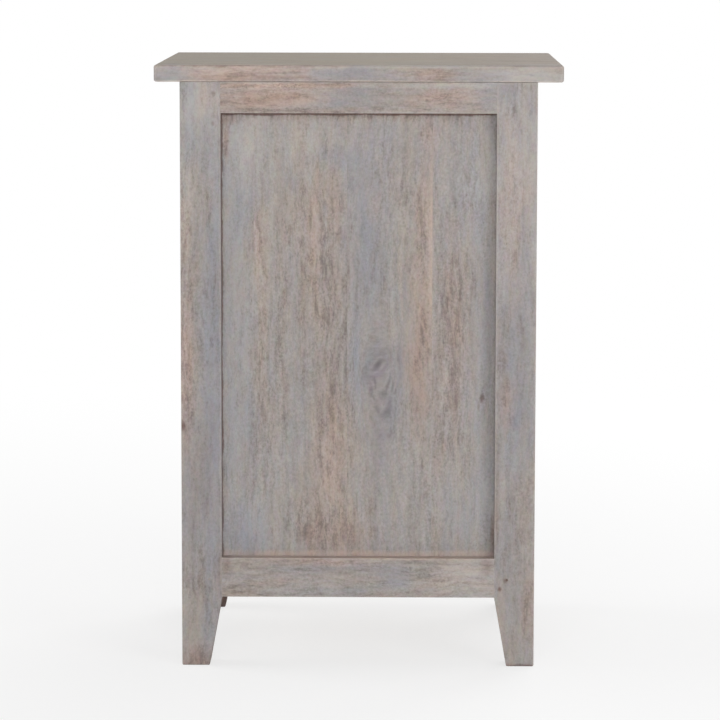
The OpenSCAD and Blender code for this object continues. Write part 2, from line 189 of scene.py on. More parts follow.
def make_wash_patch():
    """One patch of another tone, a ragged oval from 0 to 1: wash left thick or rubbed thin, and in a few
    places painted light and shade.
    """
    tree, given, made = begin_group(
        "Wash patch", ["Vector:Vector", "Centre:Vector", "Half size:Vector"], ["Mask:Float"])
    ragged = noise(tree, given["Vector"], (50.0, 50.0, 16.0), 3.0, detail=4.0, rough=0.62)["Color"]
    away = vector_step(tree, "SUBTRACT", given["Vector"], given["Centre"])
    away = vector_step(tree, "DIVIDE", away, given["Half size"])
    away = vector_step(tree, "ADD", away, shift(tree, ragged, (1.4, 0.0, 1.4)))
    return end_group(tree, made, {"Mask": ramp(tree, length_of(tree, away), 1.45, 0.15)})


def gap_to_box(tree, given):
    """How far a point lies inside the Low and High corners, along each axis."""
    above = vector_step(tree, "SUBTRACT", given["Vector"], given["Low"])
    below = vector_step(tree, "SUBTRACT", given["High"], given["Vector"])
    return axes_of(tree, vector_step(tree, "MINIMUM", above, below))


def make_arris_wear():
    """How near a point of a board is to one of its arrises, 1 on the arris, and broken up."""
    tree, given, made = begin_group(
        "Arris wear", ["Vector:Vector", "Low:Vector", "High:Vector", "Width:Float"], ["Mask:Float"])
    gap = gap_to_box(tree, given)
    larger = reckon(tree, "MAXIMUM", gap["X"], gap["Y"])
    smaller = reckon(tree, "MINIMUM", gap["X"], gap["Y"])
    middle = reckon(tree, "MAXIMUM", smaller, reckon(tree, "MINIMUM", larger, gap["Z"]))
    broken = noise(tree, given["Vector"], (60.0, 60.0, 60.0), 1.0, detail=3.0, rough=0.6)["Fac"]
    width = reckon(tree, "MULTIPLY", given["Width"], ramp(tree, broken, 0.3, 0.7, 0.3, 1.7))
    return end_group(tree, made, {"Mask": ramp(tree, reckon(tree, "DIVIDE", middle, width), 1.0, 0.25)})


def make_limed_surface(figure):
    """Wash over wood. Where it is rubbed bare the wood shows in streaks along the grain."""
    tree, given, made = begin_group(
        "Limed surface", ["Vector:Vector", "Seed:Float", "Wash:Color", "Wood:Color", "Pores:Color",
                          "Arris colour:Color", "Bare:Float", "Thick:Float", "Pore share:Float",
                          "Arris:Float", "End grain:Float"],
        ["Color:Color", "Roughness:Float", "Height:Float"])
    grain = fill_group(tree, figure, {"Vector": given["Vector"], "Seed": given["Seed"]})
    # How much of the wood shows through the wash
    spread = reckon(tree, "MULTIPLY", grain["Streak"], 0.30)
    spread = reckon(tree, "MULTIPLY_ADD", grain["Mottle"], 0.30, spread)
    spread = reckon(tree, "MULTIPLY_ADD", grain["Lines"], 0.40, spread)
    bare = reckon(tree, "MULTIPLY_ADD", given["End grain"], 0.35, given["Bare"])
    bare = reckon(tree, "MULTIPLY_ADD", reckon(tree, "SUBTRACT", spread, 0.5), -3.1, bare)
    show = ramp(tree, bare, 0.0, 1.05)
    # Light and dark in the wash, evened out where it lies thick, and stronger ones in the wood
    light = reckon(tree, "MULTIPLY", ramp(tree, grain["Streak"], 0.30, 0.70, 0.92, 1.07),
                   ramp(tree, grain["Mottle"], 0.32, 0.68, 0.90, 1.07))
    on_wash = reckon(tree, "MULTIPLY", light, ramp(tree, grain["Lines"], 0.34, 0.64, 0.96, 1.03))
    evened = reckon(tree, "MULTIPLY_ADD", given["Thick"], -0.6, 1.0)
    on_wash = reckon(tree, "MULTIPLY_ADD", reckon(tree, "SUBTRACT", on_wash, 1.0), evened, 1.0)
    on_wood = reckon(tree, "MULTIPLY", light, ramp(tree, grain["Lines"], 0.34, 0.64, 0.82, 1.14))
    colour = lay_over(tree, show, dim(tree, given["Wash"], on_wash), dim(tree, given["Wood"], on_wood))
    # Worn arrises painted lighter as a highlight, pores that wash half fills, and darker end grain
    colour = lay_over(tree, reckon(tree, "MULTIPLY", given["Arris"], 0.25), colour, given["Arris colour"])
    pore = reckon(tree, "MULTIPLY", grain["Pore"], given["Pore share"])
    pore = reckon(tree, "MULTIPLY", pore, ramp(tree, show, 0.0, 1.0, 0.22, 1.0))
    colour = vector_step(tree, "MULTIPLY", lay_over(tree, pore, colour, given["Pores"]), grain["Hue"])
    colour = dim(tree, colour, ramp(tree, given["End grain"], 0.0, 1.0, 1.0, 0.82))
    rough = ramp(tree, grain["Streak"], 0.3, 0.7, 0.84, 0.72)
    rough = reckon(tree, "MULTIPLY_ADD", given["Arris"], -0.08, rough)
    return end_group(tree, made, {"Color": colour, "Roughness": rough, "Height": grain["Height"]})


wood_figure = make_wood_figure()
limewash = make_limewash()
wash_patch = make_wash_patch()
arris_wear = make_arris_wear()
limed_surface = make_limed_surface(wood_figure)

# Turns of the pattern that lay its x axis along the board's grain
QUARTER_TURN = 1.5708
GRAIN_TURN = {"X": (0.0, 0.0, 0.0), "Y": (0.0, 0.0, -QUARTER_TURN), "Z": (0.0, QUARTER_TURN, 0.0)}

# Tones of the finish: the wash as it lies thick, and the wood that shows in streaks through it
TONES = {
    "grey": (tint(158, 151, 146), tint(148, 139, 133)),
    "blue": (tint(144, 144, 150), tint(133, 130, 134)),
    "pale": (tint(174, 168, 164), tint(160, 152, 147)),
    "mist": (tint(158, 155, 155), tint(145, 140, 139)),
    "dusk": (tint(132, 129, 134), tint(121, 116, 118)),
    "olive": (tint(152, 142, 128), tint(145, 134, 120)),
    "cream": (tint(179, 162, 153), tint(167, 148, 139)),
    "sand": (tint(162, 143, 133), tint(150, 129, 118)),
    "brown": (tint(162, 151, 144), tint(149, 136, 128)),
    "orange": (tint(176, 155, 145), tint(164, 141, 131)),
    "peach": (tint(187, 166, 154), tint(175, 152, 140)),
    "rust": (tint(158, 138, 130), tint(142, 120, 111)),
    "umber": (tint(124, 101, 95), tint(102, 76, 71)),
    "white": (tint(228, 216, 208), tint(216, 202, 192)),
}
RUBBED = ("brown", "orange", "peach", "rust", "umber")
PORES = tint(112, 101, 96)
# Lighter colour laid on the arrises: partly wear, partly a painted highlight
ARRIS_WEAR_AND_HIGHLIGHT = tint(176, 168, 161)


def start_material(name, grain, gloss=0.5):
    """An empty finish: its tree, shader, object coordinates, and the same laid along the grain."""
    material = bpy.data.materials.new(name)
    material.use_nodes = True
    tree = material.node_tree
    shader = tree.nodes["Principled BSDF"]
    shader.inputs["Specular IOR Level"].default_value = gloss
    place = place_node(tree, "TexCoord").outputs["Object"]
    along = place_node(tree, "Mapping", {"Vector": place, "Rotation": GRAIN_TURN[grain]}).outputs[0]
    return material, tree, shader, place, along


def end_grain_share(tree, grain):
    """How squarely a face cuts across the grain, from 0 to 1."""
    normal = place_node(tree, "TexCoord").outputs["Normal"]
    return ramp(tree, reckon(tree, "ABSOLUTE", axes_of(tree, normal)[grain]), 0.80, 0.95)


def end_material(tree, shader, colour, rough, height, strength, depth):
    """Links a finish to its shader, with a relief whose depth is in metres."""
    relief = place_node(tree, "Bump", {"Strength": strength, "Distance": depth, "Height": height}).outputs[0]
    for socket, value in (("Base Color", colour), ("Roughness", rough), ("Normal", relief)):
        tree.links.new(value, shader.inputs[socket])


def limed_wood(name, grain, seed, box, patches, blue=0.6, pale=0.4, bare=0.55, pores=0.6, extra=None):
    """Limed finish of one board. A patch is its tone, share, centre and half size."""
    material, tree, shader, place, along = start_material(name, grain, gloss=0.3)
    coat = fill_group(tree, limewash, {
        "Vector": along, "Seed": seed, "Grey": TONES["grey"][0], "Blue": TONES["blue"][0],
        "Pale": TONES["pale"][0], "Blue share": blue, "Pale share": pale, "Bare share": bare})
    wash, wood, thin, thick = coat["Wash"], TONES["grey"][1], coat["Bare"], 0.0
    # A rubbed tone bares the wood in streaks, and any other tone covers it
    for tone, share, centre, half_size in patches:
        mask = fill_group(tree, wash_patch, {"Vector": place, "Centre": centre, "Half size": half_size})[0]
        mask = reckon(tree, "MULTIPLY", mask, share)
        wash = lay_over(tree, mask, wash, TONES[tone][0])
        wood = lay_over(tree, mask, wood, TONES[tone][1])
        if tone in RUBBED:
            thin = reckon(tree, "MAXIMUM", thin, mask)
        else:
            thin = reckon(tree, "MULTIPLY", thin, ramp(tree, mask, 0.0, 1.0, 1.0, 0.3))
            thick = reckon(tree, "MAXIMUM", thick, mask)
    look = {"wash": wash, "wood": wood, "thin": thin, "along": along, "seed": seed}
    if extra:
        extra(tree, place, look)
    low, high = box
    worn = fill_group(tree, arris_wear, {"Vector": place, "Low": low, "High": high, "Width": 0.0022})[0]
    surface = fill_group(tree, limed_surface, {
        "Vector": look["along"], "Seed": look["seed"], "Wash": look["wash"], "Wood": look["wood"],
        "Pores": PORES, "Arris colour": ARRIS_WEAR_AND_HIGHLIGHT, "Bare": look["thin"], "Thick": thick, "Pore share": pores,
        "Arris": worn, "End grain": end_grain_share(tree, grain)})
    end_material(tree, shader, surface["Color"], surface["Roughness"], surface["Height"], 0.35, 0.0006)
    return material


# Width of an arris: as sandpaper breaks it, and finer where boards meet flush in one face
EASED, FINE = 0.0004, 0.0001
# Points this close are joined. Faces that turn less than FLAT are one face, and an edge that
# turns more than SHARP is an arris.
SAME_POINT, FLAT, SHARP = 0.00001, 0.01, 0.7


def finish_board(node_name, material, arris=None):
    """Gives a CAD board its material, and breaks its sharp arrises if their width is given."""
    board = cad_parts[node_name]
    board.data.materials.clear()
    board.data.materials.append(material)
    if arris:
        board.modifiers.new("Join faces", "WELD").merge_threshold = SAME_POINT
        flat = board.modifiers.new("Flat faces", "DECIMATE")
        flat.decimate_type = "DISSOLVE"
        flat.angle_limit = FLAT
        eased = board.modifiers.new("Eased arrises", "BEVEL")
        eased.width = arris
        eased.segments = 2
        eased.limit_method = "ANGLE"
        eased.angle_limit = SHARP
        eased.use_clamp_overlap = False


BACK_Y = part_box("top_board")[1].y
PATCH_DEPTH = 0.05


def lay_patches(*rows):
    """Patches from rows of tone, share, middle x and z, and half sizes along x and z. They
    lie on the back face, unless a row ends with its own middle and half size along y."""
    patches = []
    for tone, share, x, z, half_x, half_z, *own_y in rows:
        y, half_y = own_y or (BACK_Y, PATCH_DEPTH)
        patches.append((tone, share, (x, y, z), (half_x, half_y, half_z)))
    return patches


SCATTERED_TONES = ("mist", "blue", "pale", "brown", "orange", "dusk", "rust", "cream")
THIN_SIDE, SMALLEST_PATCH = 0.03, 0.012


def scattered_patches(node_name, count):
    """Patches of other tones, laid at random over a board in proportion to its sides."""
    draw = random.Random(node_name)
    low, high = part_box(node_name)
    patches = []
    for _ in range(count):
        centre = [draw.uniform(*ends) for ends in zip(low, high)]
        half_size = [PATCH_DEPTH if side < THIN_SIDE else max(SMALLEST_PATCH, side * draw.uniform(0.12, 0.32))
                     for side in high - low]
        tone = draw.choice(SCATTERED_TONES)
        patches.append((tone, draw.uniform(0.4, 0.8), centre, half_size))
    return patches


# Range that the seed of a board's own pattern is drawn from
SEEDS = (0, 40)


def lime_boards(names, grain, draw, scattered=0, patches=(), arris=EASED, **looks):
    """Limes several boards with the same grain direction, each with its own pattern."""
    for node_name in names:
        material = limed_wood(
            "Limed " + node_name, grain, draw.uniform(*SEEDS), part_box(node_name),
            [*scattered_patches(node_name, scattered), *patches], **looks)
        finish_board(node_name, material, arris)


leg_draw = random.Random(41)
FRONT_LEG_INNER_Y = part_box("front_left_leg")[1].y
front_foot_patches = lay_patches(
    ("umber", 1.0, -0.150, 0.010, 0.030, 0.040, FRONT_LEG_INNER_Y, 0.025),
    ("umber", 1.0, 0.150, 0.010, 0.030, 0.040, FRONT_LEG_INNER_Y, 0.025),
)
right_leg_patches = lay_patches(
    ("mist", 0.8, 0.157, 0.540, 0.030, 0.060),
    ("blue", 0.8, 0.143, 0.310, 0.013, 0.270),
    ("brown", 0.5, 0.168, 0.380, 0.012, 0.060),
    ("peach", 0.5, 0.171, 0.452, 0.008, 0.040),
    ("pale", 0.7, 0.168, 0.472, 0.010, 0.034),
    ("orange", 0.7, 0.172, 0.300, 0.010, 0.080),
    ("dusk", 0.45, 0.156, 0.180, 0.028, 0.100),
    ("grey", 0.5, 0.160, 0.045, 0.018, 0.040),
    ("blue", 0.5, 0.150, 0.045, 0.008, 0.030),
    ("umber", 0.4, 0.138, 0.095, 0.005, 0.026),
    ("umber", 0.3, 0.160, 0.000, 0.022, 0.008),
    ("rust", 0.6, 0.160, 0.002, 0.024, 0.022),
    ("pale", 0.65, 0.158, 0.566, 0.030, 0.030),
    ("cream", 0.50, 0.144, 0.572, 0.012, 0.020),
    ("umber", 0.50, 0.1426, 0.5725, 0.0022, 0.0026),
    ("umber", 0.45, 0.1430, 0.5430, 0.0022, 0.0024),
    ("umber", 0.65, 0.1752, 0.2703, 0.0022, 0.0050, BACK_Y, 0.004),
    ("umber", 0.80, 0.1740, 0.2424, 0.0032, 0.0060, BACK_Y, 0.004),
)
left_leg_patches = lay_patches(
    ("pale", 0.55, -0.160, 0.490, 0.030, 0.110),
    ("orange", 0.3, -0.152, 0.450, 0.020, 0.080),
    ("blue", 0.4, -0.160, 0.255, 0.020, 0.080),
    ("brown", 0.3, -0.164, 0.130, 0.022, 0.070),
    ("dusk", 0.40, -0.157, 0.310, 0.030, 0.110),
    ("dusk", 0.25, -0.157, 0.120, 0.030, 0.080),
    ("dusk", 0.3, -0.165, 0.430, 0.006, 0.040),
    ("rust", 0.5, -0.148, 0.265, 0.008, 0.028),
    ("umber", 0.35, -0.1375, 0.165, 0.003, 0.060),
    ("grey", 0.6, -0.160, 0.050, 0.020, 0.050),
    ("rust", 0.4, -0.170, 0.058, 0.008, 0.035),
    ("umber", 0.8, -0.1415, 0.0780, 0.0020, 0.0026),
    ("umber", 0.5, -0.1470, 0.0870, 0.0030, 0.0030),
    ("umber", 0.7, -0.162, 0.000, 0.020, 0.003),
    ("blue", 0.55, -0.145, 0.574, 0.014, 0.014),
    ("umber", 0.22, -0.1540, 0.557, 0.0030, 0.0090),
    ("umber", 0.22, -0.1575, 0.543, 0.0030, 0.0090),
)
lime_boards(["front_left_leg", "front_right_leg"], "Z", leg_draw, scattered=5, patches=front_foot_patches)
lime_boards(["back_right_leg"], "Z", leg_draw, arris=FINE, blue=0.5, pale=0.3, bare=0.5,
            patches=right_leg_patches)
lime_boards(["back_left_leg"], "Z", leg_draw, arris=FINE, blue=0.5, pale=0.3, bare=0.5,
            patches=left_leg_patches)

# Rails of the back and side frames: hardwood rails tenoned into the legs and pinned,
# grooved for the panels and limed with the rest.
SIDES = ("left", "right")
rail_draw = random.Random(5)
top_rail_patches = lay_patches(
    ("cream", 0.75, 0.095, 0.568, 0.070, 0.020),
    ("orange", 0.45, 0.095, 0.568, 0.070, 0.020),
    ("rust", 0.45, 0.088, 0.566, 0.045, 0.005),
    ("dusk", 0.4, 0.008, 0.568, 0.028, 0.020),
    ("cream", 0.5, -0.085, 0.568, 0.036, 0.016),
    ("orange", 0.5, -0.085, 0.568, 0.036, 0.016),
    ("blue", 0.5, -0.125, 0.572, 0.014, 0.015),
    # Painted light along the rail's upper edge, against the shade of the joint under the top board
    ("peach", 0.8, 0.090, 0.5800, 0.100, 0.003),
    ("pale", 0.8, -0.080, 0.5800, 0.080, 0.003),
    ("brown", 0.7, 0.040, 0.5555, 0.140, 0.004),
)
lime_boards(["back_top_rail"], "X", rail_draw, arris=FINE, blue=0.4, pale=0.3, bare=0.4,
            patches=top_rail_patches)
bottom_rail_patches = lay_patches(
    ("blue", 0.6, -0.038, 0.089, 0.016, 0.010),
    ("orange", 0.5, -0.105, 0.092, 0.030, 0.014),
    ("brown", 0.5, 0.080, 0.085, 0.040, 0.010),
    ("pale", 0.7, -0.112, 0.090, 0.034, 0.020),
    # Painted light on the rail's ledge under the panel, against the shade of the recess
    ("cream", 1.0, 0.0, 0.1100, 0.300, 0.003, 0.168, 0.012),
    ("orange", 0.6, 0.030, 0.1050, 0.045, 0.005),
    ("umber", 0.4, 0.131, 0.100, 0.006, 0.014),
    ("umber", 0.4, -0.129, 0.100, 0.007, 0.012),
)
lime_boards(["back_bottom_rail"], "X", rail_draw, arris=FINE, blue=0.4, pale=0.3, bare=0.5,
            patches=bottom_rail_patches)
lime_boards([side + "_side_" + height + "_rail" for side in SIDES for height in ("top", "bottom")], "Y",
            rail_draw, scattered=4)

# Panels: thin boards edge-glued side by side, standing loose in the grooves of their
# frames. Little wash reached into the corner along the frame, so it stays brown, and
# that brown is painted darker as the shade in the corner.


def make_corner_brown_and_shade():
    """How near a point of a panel is to the inner edge of its frame, 1 at the edge."""
    tree, given, made = begin_group(
        "Corner brown and shade", ["Vector:Vector", "Low:Vector", "High:Vector", "Width:Float"], ["Mask:Float"])
    gap = gap_to_box(tree, given)
    gap = reckon(tree, "MINIMUM", reckon(tree, "MINIMUM", gap["X"], gap["Y"]), gap["Z"])
    broken = noise(tree, given["Vector"], (40.0, 40.0, 40.0), 5.0, detail=3.0, rough=0.6)["Fac"]
    width = reckon(tree, "MULTIPLY", given["Width"], ramp(tree, broken, 0.3, 0.7, 0.6, 1.8))
    return end_group(tree, made, {"Mask": ramp(tree, reckon(tree, "DIVIDE", gap, width), 1.0, 0.2)})


corner_brown_and_shade = make_corner_brown_and_shade()


# Step of the seed from one glued board to the next, so that the grain breaks at the joint
NEXT_BOARD = 7.7


def panel_looks(across, joints, low, high, knot=None):
    """What a panel adds to its finish: glued boards, brown corners painted dark as shade along the frame and,
    if given, a knot.
    """

    def add(tree, place, look):
        point = axes_of(tree, place)
        for joint in joints:
            beyond = reckon(tree, "GREATER_THAN", point[across], joint)
            look["seed"] = reckon(tree, "MULTIPLY_ADD", beyond, NEXT_BOARD, look["seed"])
        sockets = {"Vector": place, "Low": low, "High": high, "Width": 0.0020}
        # Umber along the frame's inner edge: unwashed brown wood, painted darker as the corner's shade
        corner = reckon(tree, "MULTIPLY", fill_group(tree, corner_brown_and_shade, sockets)[0], 0.8)
        look["wood"] = lay_over(tree, corner, look["wood"], TONES["umber"][1])
        look["thin"] = reckon(tree, "MAXIMUM", look["thin"], reckon(tree, "MULTIPLY", corner, 1.6))
        if knot:
            add_knot(tree, place, look, *knot)

    return add


def add_knot(tree, place, look, x, z):
    """A small knot: the grain swings round it and closes in dark broken bows below it."""
    uneven = noise(tree, place, (60.0, 60.0, 34.0), 2.0, detail=3.0)["Color"]

    def oval(centre, half_size, raggedness, lean=0.0, below=1.0):
        """Way and distance from a leaning, ragged oval's centre, the distance 1 on the oval.
        A value of below under 1 stretches its lower half."""
        away = vector_step(tree, "SUBTRACT", place, centre)
        away = axes_of(tree, vector_step(tree, "ADD", away, shift(tree, uneven, raggedness)))
        across = reckon(tree, "MULTIPLY_ADD", away["Z"], lean, away["X"])
        down = reckon(tree, "MAXIMUM", away["Z"], reckon(tree, "MULTIPLY", away["Z"], below))
        part = [reckon(tree, "DIVIDE", across, half_size[0]), reckon(tree, "DIVIDE", down, half_size[1])]
        squared = reckon(tree, "MULTIPLY_ADD", part[0], part[0], reckon(tree, "MULTIPLY", part[1], part[1]))
        return away, reckon(tree, "SQRT", squared)

    # The grain swings round the knot
    middle = (x, 0.0, z)
    away, far = oval(middle, (0.018, 0.050), (0.0, 0.0, 0.0))
    swing = reckon(tree, "EXPONENT", reckon(tree, "MULTIPLY", reckon(tree, "MULTIPLY", far, far), -1.0))
    push = reckon(tree, "MULTIPLY", reckon(tree, "MULTIPLY", away["X"], swing), 0.85)
    push = place_node(tree, "CombineXYZ", {"Z": push}).outputs[0]
    look["along"] = vector_step(tree, "ADD", look["along"], push)

    # Dusky wash that lies thick round it
    halo = ramp(tree, oval(middle, (0.019, 0.038), (0.004, 0.0, 0.004), lean=0.1)[1], 1.1, 0.3)
    look["wash"] = lay_over(tree, reckon(tree, "MULTIPLY", halo, 0.6), look["wash"], TONES["dusk"][0])
    look["thin"] = reckon(tree, "MULTIPLY", look["thin"], ramp(tree, halo, 0.0, 1.0, 1.0, 0.35))

    # Dark heart, with a faint collar
    far = oval(middle, (0.0042, 0.0060), (0.005, 0.0, 0.005), lean=0.6)[1]
    heart = reckon(tree, "MULTIPLY", ramp(tree, far, 1.6, 0.1), 0.9)
    collar = reckon(tree, "MULTIPLY", ramp(tree, far, 1.4, 2.1), ramp(tree, far, 3.6, 2.3))
    heart = reckon(tree, "MAXIMUM", heart, reckon(tree, "MULTIPLY", collar, 0.22))

    # Broken bows below the heart and to one side of it
    away, far = oval((x - 0.005, 0.0, z - 0.008), (0.0052, 0.0070), (0.014, 0.0, 0.018), below=0.40)
    bows = reckon(tree, "MULTIPLY_ADD", reckon(tree, "SINE", reckon(tree, "MULTIPLY", far, 5.6)), 0.5, 0.5)
    side = reckon(tree, "MAXIMUM", ramp(tree, away["Z"], 0.002, -0.008), ramp(tree, away["X"], 0.006, 0.012))
    broken = ramp(tree, noise(tree, place, (90.0, 90.0, 45.0), 6.0)["Fac"], 0.36, 0.56)
    bows = reckon(tree, "MULTIPLY", reckon(tree, "MULTIPLY", bows, broken), ramp(tree, far, 4.6, 1.5))
    bows = reckon(tree, "MULTIPLY", reckon(tree, "MULTIPLY", bows, side), 0.6)
    dark = reckon(tree, "MAXIMUM", heart, bows)
    for layer in ("wash", "wood"):
        look[layer] = lay_over(tree, dark, look[layer], tint(98, 94, 98))


# Openings of the frames, and a limit so far out that no corner shows there
OPEN_LOW_Z, OPEN_HIGH_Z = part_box("back_bottom_rail")[1].z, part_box("back_top_rail")[0].z
BACK_LEG_INNER_X, BACK_LEG_INNER_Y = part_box("back_right_leg")[0].xy
FAR = 1.0
panel_draw = random.Random(12)
back_panel_looks = panel_looks(
    "X", joints=(-0.073, 0.0113), knot=(-0.0195, 0.3030),
    low=(-FAR, -FAR, 0.0), high=(BACK_LEG_INNER_X + 0.0002, FAR, OPEN_HIGH_Z - 0.0012))
side_panel_looks = panel_looks(
    "Y", joints=(-0.035, 0.052),
    low=(-FAR, FRONT_LEG_INNER_Y, OPEN_LOW_Z), high=(FAR, BACK_LEG_INNER_Y, OPEN_HIGH_Z))
back_panel_patches = lay_patches(
    ("pale", 0.40, 0.045, 0.525, 0.090, 0.030),
    ("mist", 0.90, 0.122, 0.330, 0.020, 0.260),
    ("mist", 0.60, -0.122, 0.330, 0.014, 0.260),
    ("dusk", 0.30, -0.113, 0.320, 0.010, 0.070),
    ("dusk", 0.35, -0.128, 0.330, 0.006, 0.090),
    ("pale", 0.85, 0.112, 0.524, 0.028, 0.042),
    ("mist", 0.80, -0.126, 0.505, 0.012, 0.045),
    ("pale", 0.60, -0.127, 0.500, 0.009, 0.045),
    ("pale", 0.60, 0.053, 0.526, 0.010, 0.016),
    ("orange", 0.60, 0.131, 0.525, 0.004, 0.025),
    ("blue", 0.40, -0.128, 0.540, 0.008, 0.014),
    ("brown", 0.50, 0.096, 0.340, 0.009, 0.190),
    ("brown", 0.50, 0.078, 0.330, 0.010, 0.130),
    ("peach", 0.45, 0.100, 0.432, 0.006, 0.050),
    ("pale", 0.45, 0.084, 0.466, 0.008, 0.042),
    ("cream", 0.35, 0.050, 0.430, 0.020, 0.055),
    ("mist", 0.75, 0.063, 0.360, 0.007, 0.060),
    ("blue", 0.40, 0.058, 0.350, 0.006, 0.026),
    ("brown", 0.55, 0.040, 0.400, 0.036, 0.140),
    ("cream", 0.75, 0.042, 0.430, 0.006, 0.058),
    ("rust", 0.35, 0.026, 0.470, 0.006, 0.030),
    ("brown", 0.50, 0.026, 0.280, 0.024, 0.190),
    ("dusk", 0.35, 0.038, 0.286, 0.008, 0.040),
    ("umber", 0.12, 0.022, 0.330, 0.007, 0.150),
    ("orange", 0.45, 0.030, 0.200, 0.020, 0.080),
    ("blue", 0.45, 0.018, 0.509, 0.030, 0.014),
    ("blue", 0.55, -0.006, 0.490, 0.026, 0.060),
    ("blue", 0.45, -0.003, 0.360, 0.020, 0.100),
    ("brown", 0.35, -0.025, 0.500, 0.016, 0.050),
    ("blue", 0.50, -0.008, 0.282, 0.010, 0.030),
    ("blue", 0.55, 0.003, 0.302, 0.006, 0.040),
    ("cream", 0.35, -0.015, 0.456, 0.008, 0.018),
    ("dusk", 0.50, -0.032, 0.262, 0.012, 0.022),
    ("dusk", 0.25, -0.016, 0.380, 0.020, 0.050),
    ("orange", 0.40, -0.064, 0.420, 0.010, 0.120),
    ("dusk", 0.65, -0.042, 0.304, 0.006, 0.038),
    ("dusk", 0.35, -0.048, 0.376, 0.005, 0.035),
    ("sand", 0.90, -0.060, 0.305, 0.014, 0.070),
    ("orange", 0.35, -0.062, 0.320, 0.012, 0.060),
    ("orange", 0.40, -0.069, 0.530, 0.012, 0.020),
    ("cream", 0.55, -0.0718, 0.420, 0.0026, 0.130),
    ("brown", 0.65, -0.094, 0.330, 0.022, 0.150),
    ("rust", 0.35, -0.092, 0.330, 0.012, 0.140),
    ("pale", 0.45, -0.0870, 0.276, 0.006, 0.045),
    ("pale", 0.40, -0.0670, 0.190, 0.008, 0.022),
    ("mist", 0.40, -0.0400, 0.222, 0.008, 0.020),
    ("pale", 0.35, 0.080, 0.215, 0.016, 0.040),
    ("brown", 0.65, 0.032, 0.140, 0.056, 0.034),
    ("rust", 0.45, 0.020, 0.130, 0.040, 0.020),
    ("mist", 0.90, 0.100, 0.138, 0.038, 0.042),
    ("umber", 0.30, 0.055, 0.133, 0.010, 0.010),
    # Painted light along the panel's foot, against the shade above the bottom rail's ledge
    ("cream", 0.90, 0.0, 0.1110, 0.300, 0.0045),
    ("blue", 0.60, 0.114, 0.128, 0.020, 0.026),
    ("mist", 0.70, -0.105, 0.155, 0.030, 0.036),
    ("rust", 0.60, 0.128, 0.547, 0.012, 0.008),
    ("brown", 0.60, 0.000, 0.550, 0.130, 0.007),
    ("dusk", 0.55, -0.020, 0.238, 0.018, 0.045),
    ("umber", 0.60, -0.1345, 0.130, 0.003, 0.024),
    ("umber", 0.65, -0.1228, 0.2690, 0.0026, 0.0050),
    ("umber", 0.40, -0.1195, 0.2610, 0.0014, 0.0050),
    ("umber", 0.35, -0.0960, 0.2640, 0.0028, 0.0085),
)
lime_boards(["back_panel"], "Z", panel_draw, blue=0.5, pale=0.3, bare=0.45, pores=0.68,
            patches=back_panel_patches, extra=back_panel_looks)
lime_boards([side + "_side_panel" for side in SIDES], "Z", panel_draw, scattered=9, pores=0.68,
            extra=side_panel_looks)

# Front rails and drawer dividers: stout rails tenoned between the front legs. The
# dividers carry the front ends of the drawer runners.
front_draw = random.Random(8)
lime_boards(["front_top_rail", "upper_divider", "lower_divider", "front_bottom_rail"], "X", front_draw,
            scattered=4)

# Top board: one wide board glued up from narrower ones, with softly rounded edges. It
# is screwed up from the cleats, and its upper face was coated evenly and rubbed smooth.
# White wash has gathered in the joint between the board's back edge and the legs, and is painted light there
# against the joint's shade.
top_draw = random.Random(23)
top_board_looks = panel_looks("Y", joints=(-0.066, 0.054), low=(-FAR, -FAR, 0.0), high=(FAR, FAR, FAR))
top_board_patches = lay_patches(
    # Painted light along the board's lower back edge, against the shade of the joint with the rail
    ("peach", 0.9, 0.10, 0.5835, 0.30, 0.0016),
    ("pale", 0.9, -0.13, 0.5835, 0.10, 0.0016),
    ("cream", 0.95, 0.112, 0.593, 0.110, 0.012),
    ("peach", 0.45, 0.112, 0.595, 0.100, 0.006),
    ("rust", 0.45, 0.110, 0.5885, 0.080, 0.0024),
    ("brown", 0.60, 0.080, 0.5925, 0.050, 0.0015),
    ("blue", 0.6, 0.012, 0.591, 0.035, 0.012),
    ("pale", 0.4, 0.012, 0.591, 0.035, 0.012),
    ("orange", 0.6, -0.070, 0.591, 0.028, 0.010),
    ("mist", 0.8, -0.130, 0.591, 0.045, 0.014),
    ("olive", 0.97, 0.0, 0.6006, 0.80, 0.004, 0.0, 0.80),
    # Painted highlight on the rounded arris between the upper face and the back edge
    ("pale", 0.95, 0.0, 0.5997, 0.90, 0.0030, BACK_Y, 0.009),
    ("peach", 0.90, 0.110, 0.5997, 0.12, 0.0030, BACK_Y, 0.009),
    ("mist", 0.85, 0.185, 0.590, 0.016, 0.010),
    ("dusk", 0.45, 0.004, 0.591, 0.030, 0.010),
    ("pale", 0.90, -0.174, 0.591, 0.036, 0.014),
    ("peach", 0.60, 0.118, 0.591, 0.034, 0.010),
    # Painted shade: a faint dark band along the board's lower back edge, just above the joint
    ("umber", 0.14, 0.0, 0.5858, 0.150, 0.0020),
    # White wash in the joint, painted light against the joint's shade
    ("white", 0.85, 0.158, 0.5836, 0.030, 0.0016, 0.1735, 0.004),
    ("white", 0.50, -0.158, 0.5836, 0.030, 0.0016, 0.1735, 0.004),
    ("white", 0.40, 0.0, 0.5836, 0.300, 0.0016, 0.1735, 0.004),
    # Painted shade at one end of the upper face and painted light at the other, evening out the lamps' sheen
    ("umber", 0.22, -0.190, 0.6006, 0.120, 0.004, 0.0, 0.80),
    ("pale", 0.15, 0.180, 0.6006, 0.110, 0.004, 0.0, 0.80),
)
lime_boards(["top_board"], "X", top_draw, arris=FINE, blue=0.4, pale=0.5, bare=0.35, pores=0.1,
            patches=top_board_patches, extra=top_board_looks)
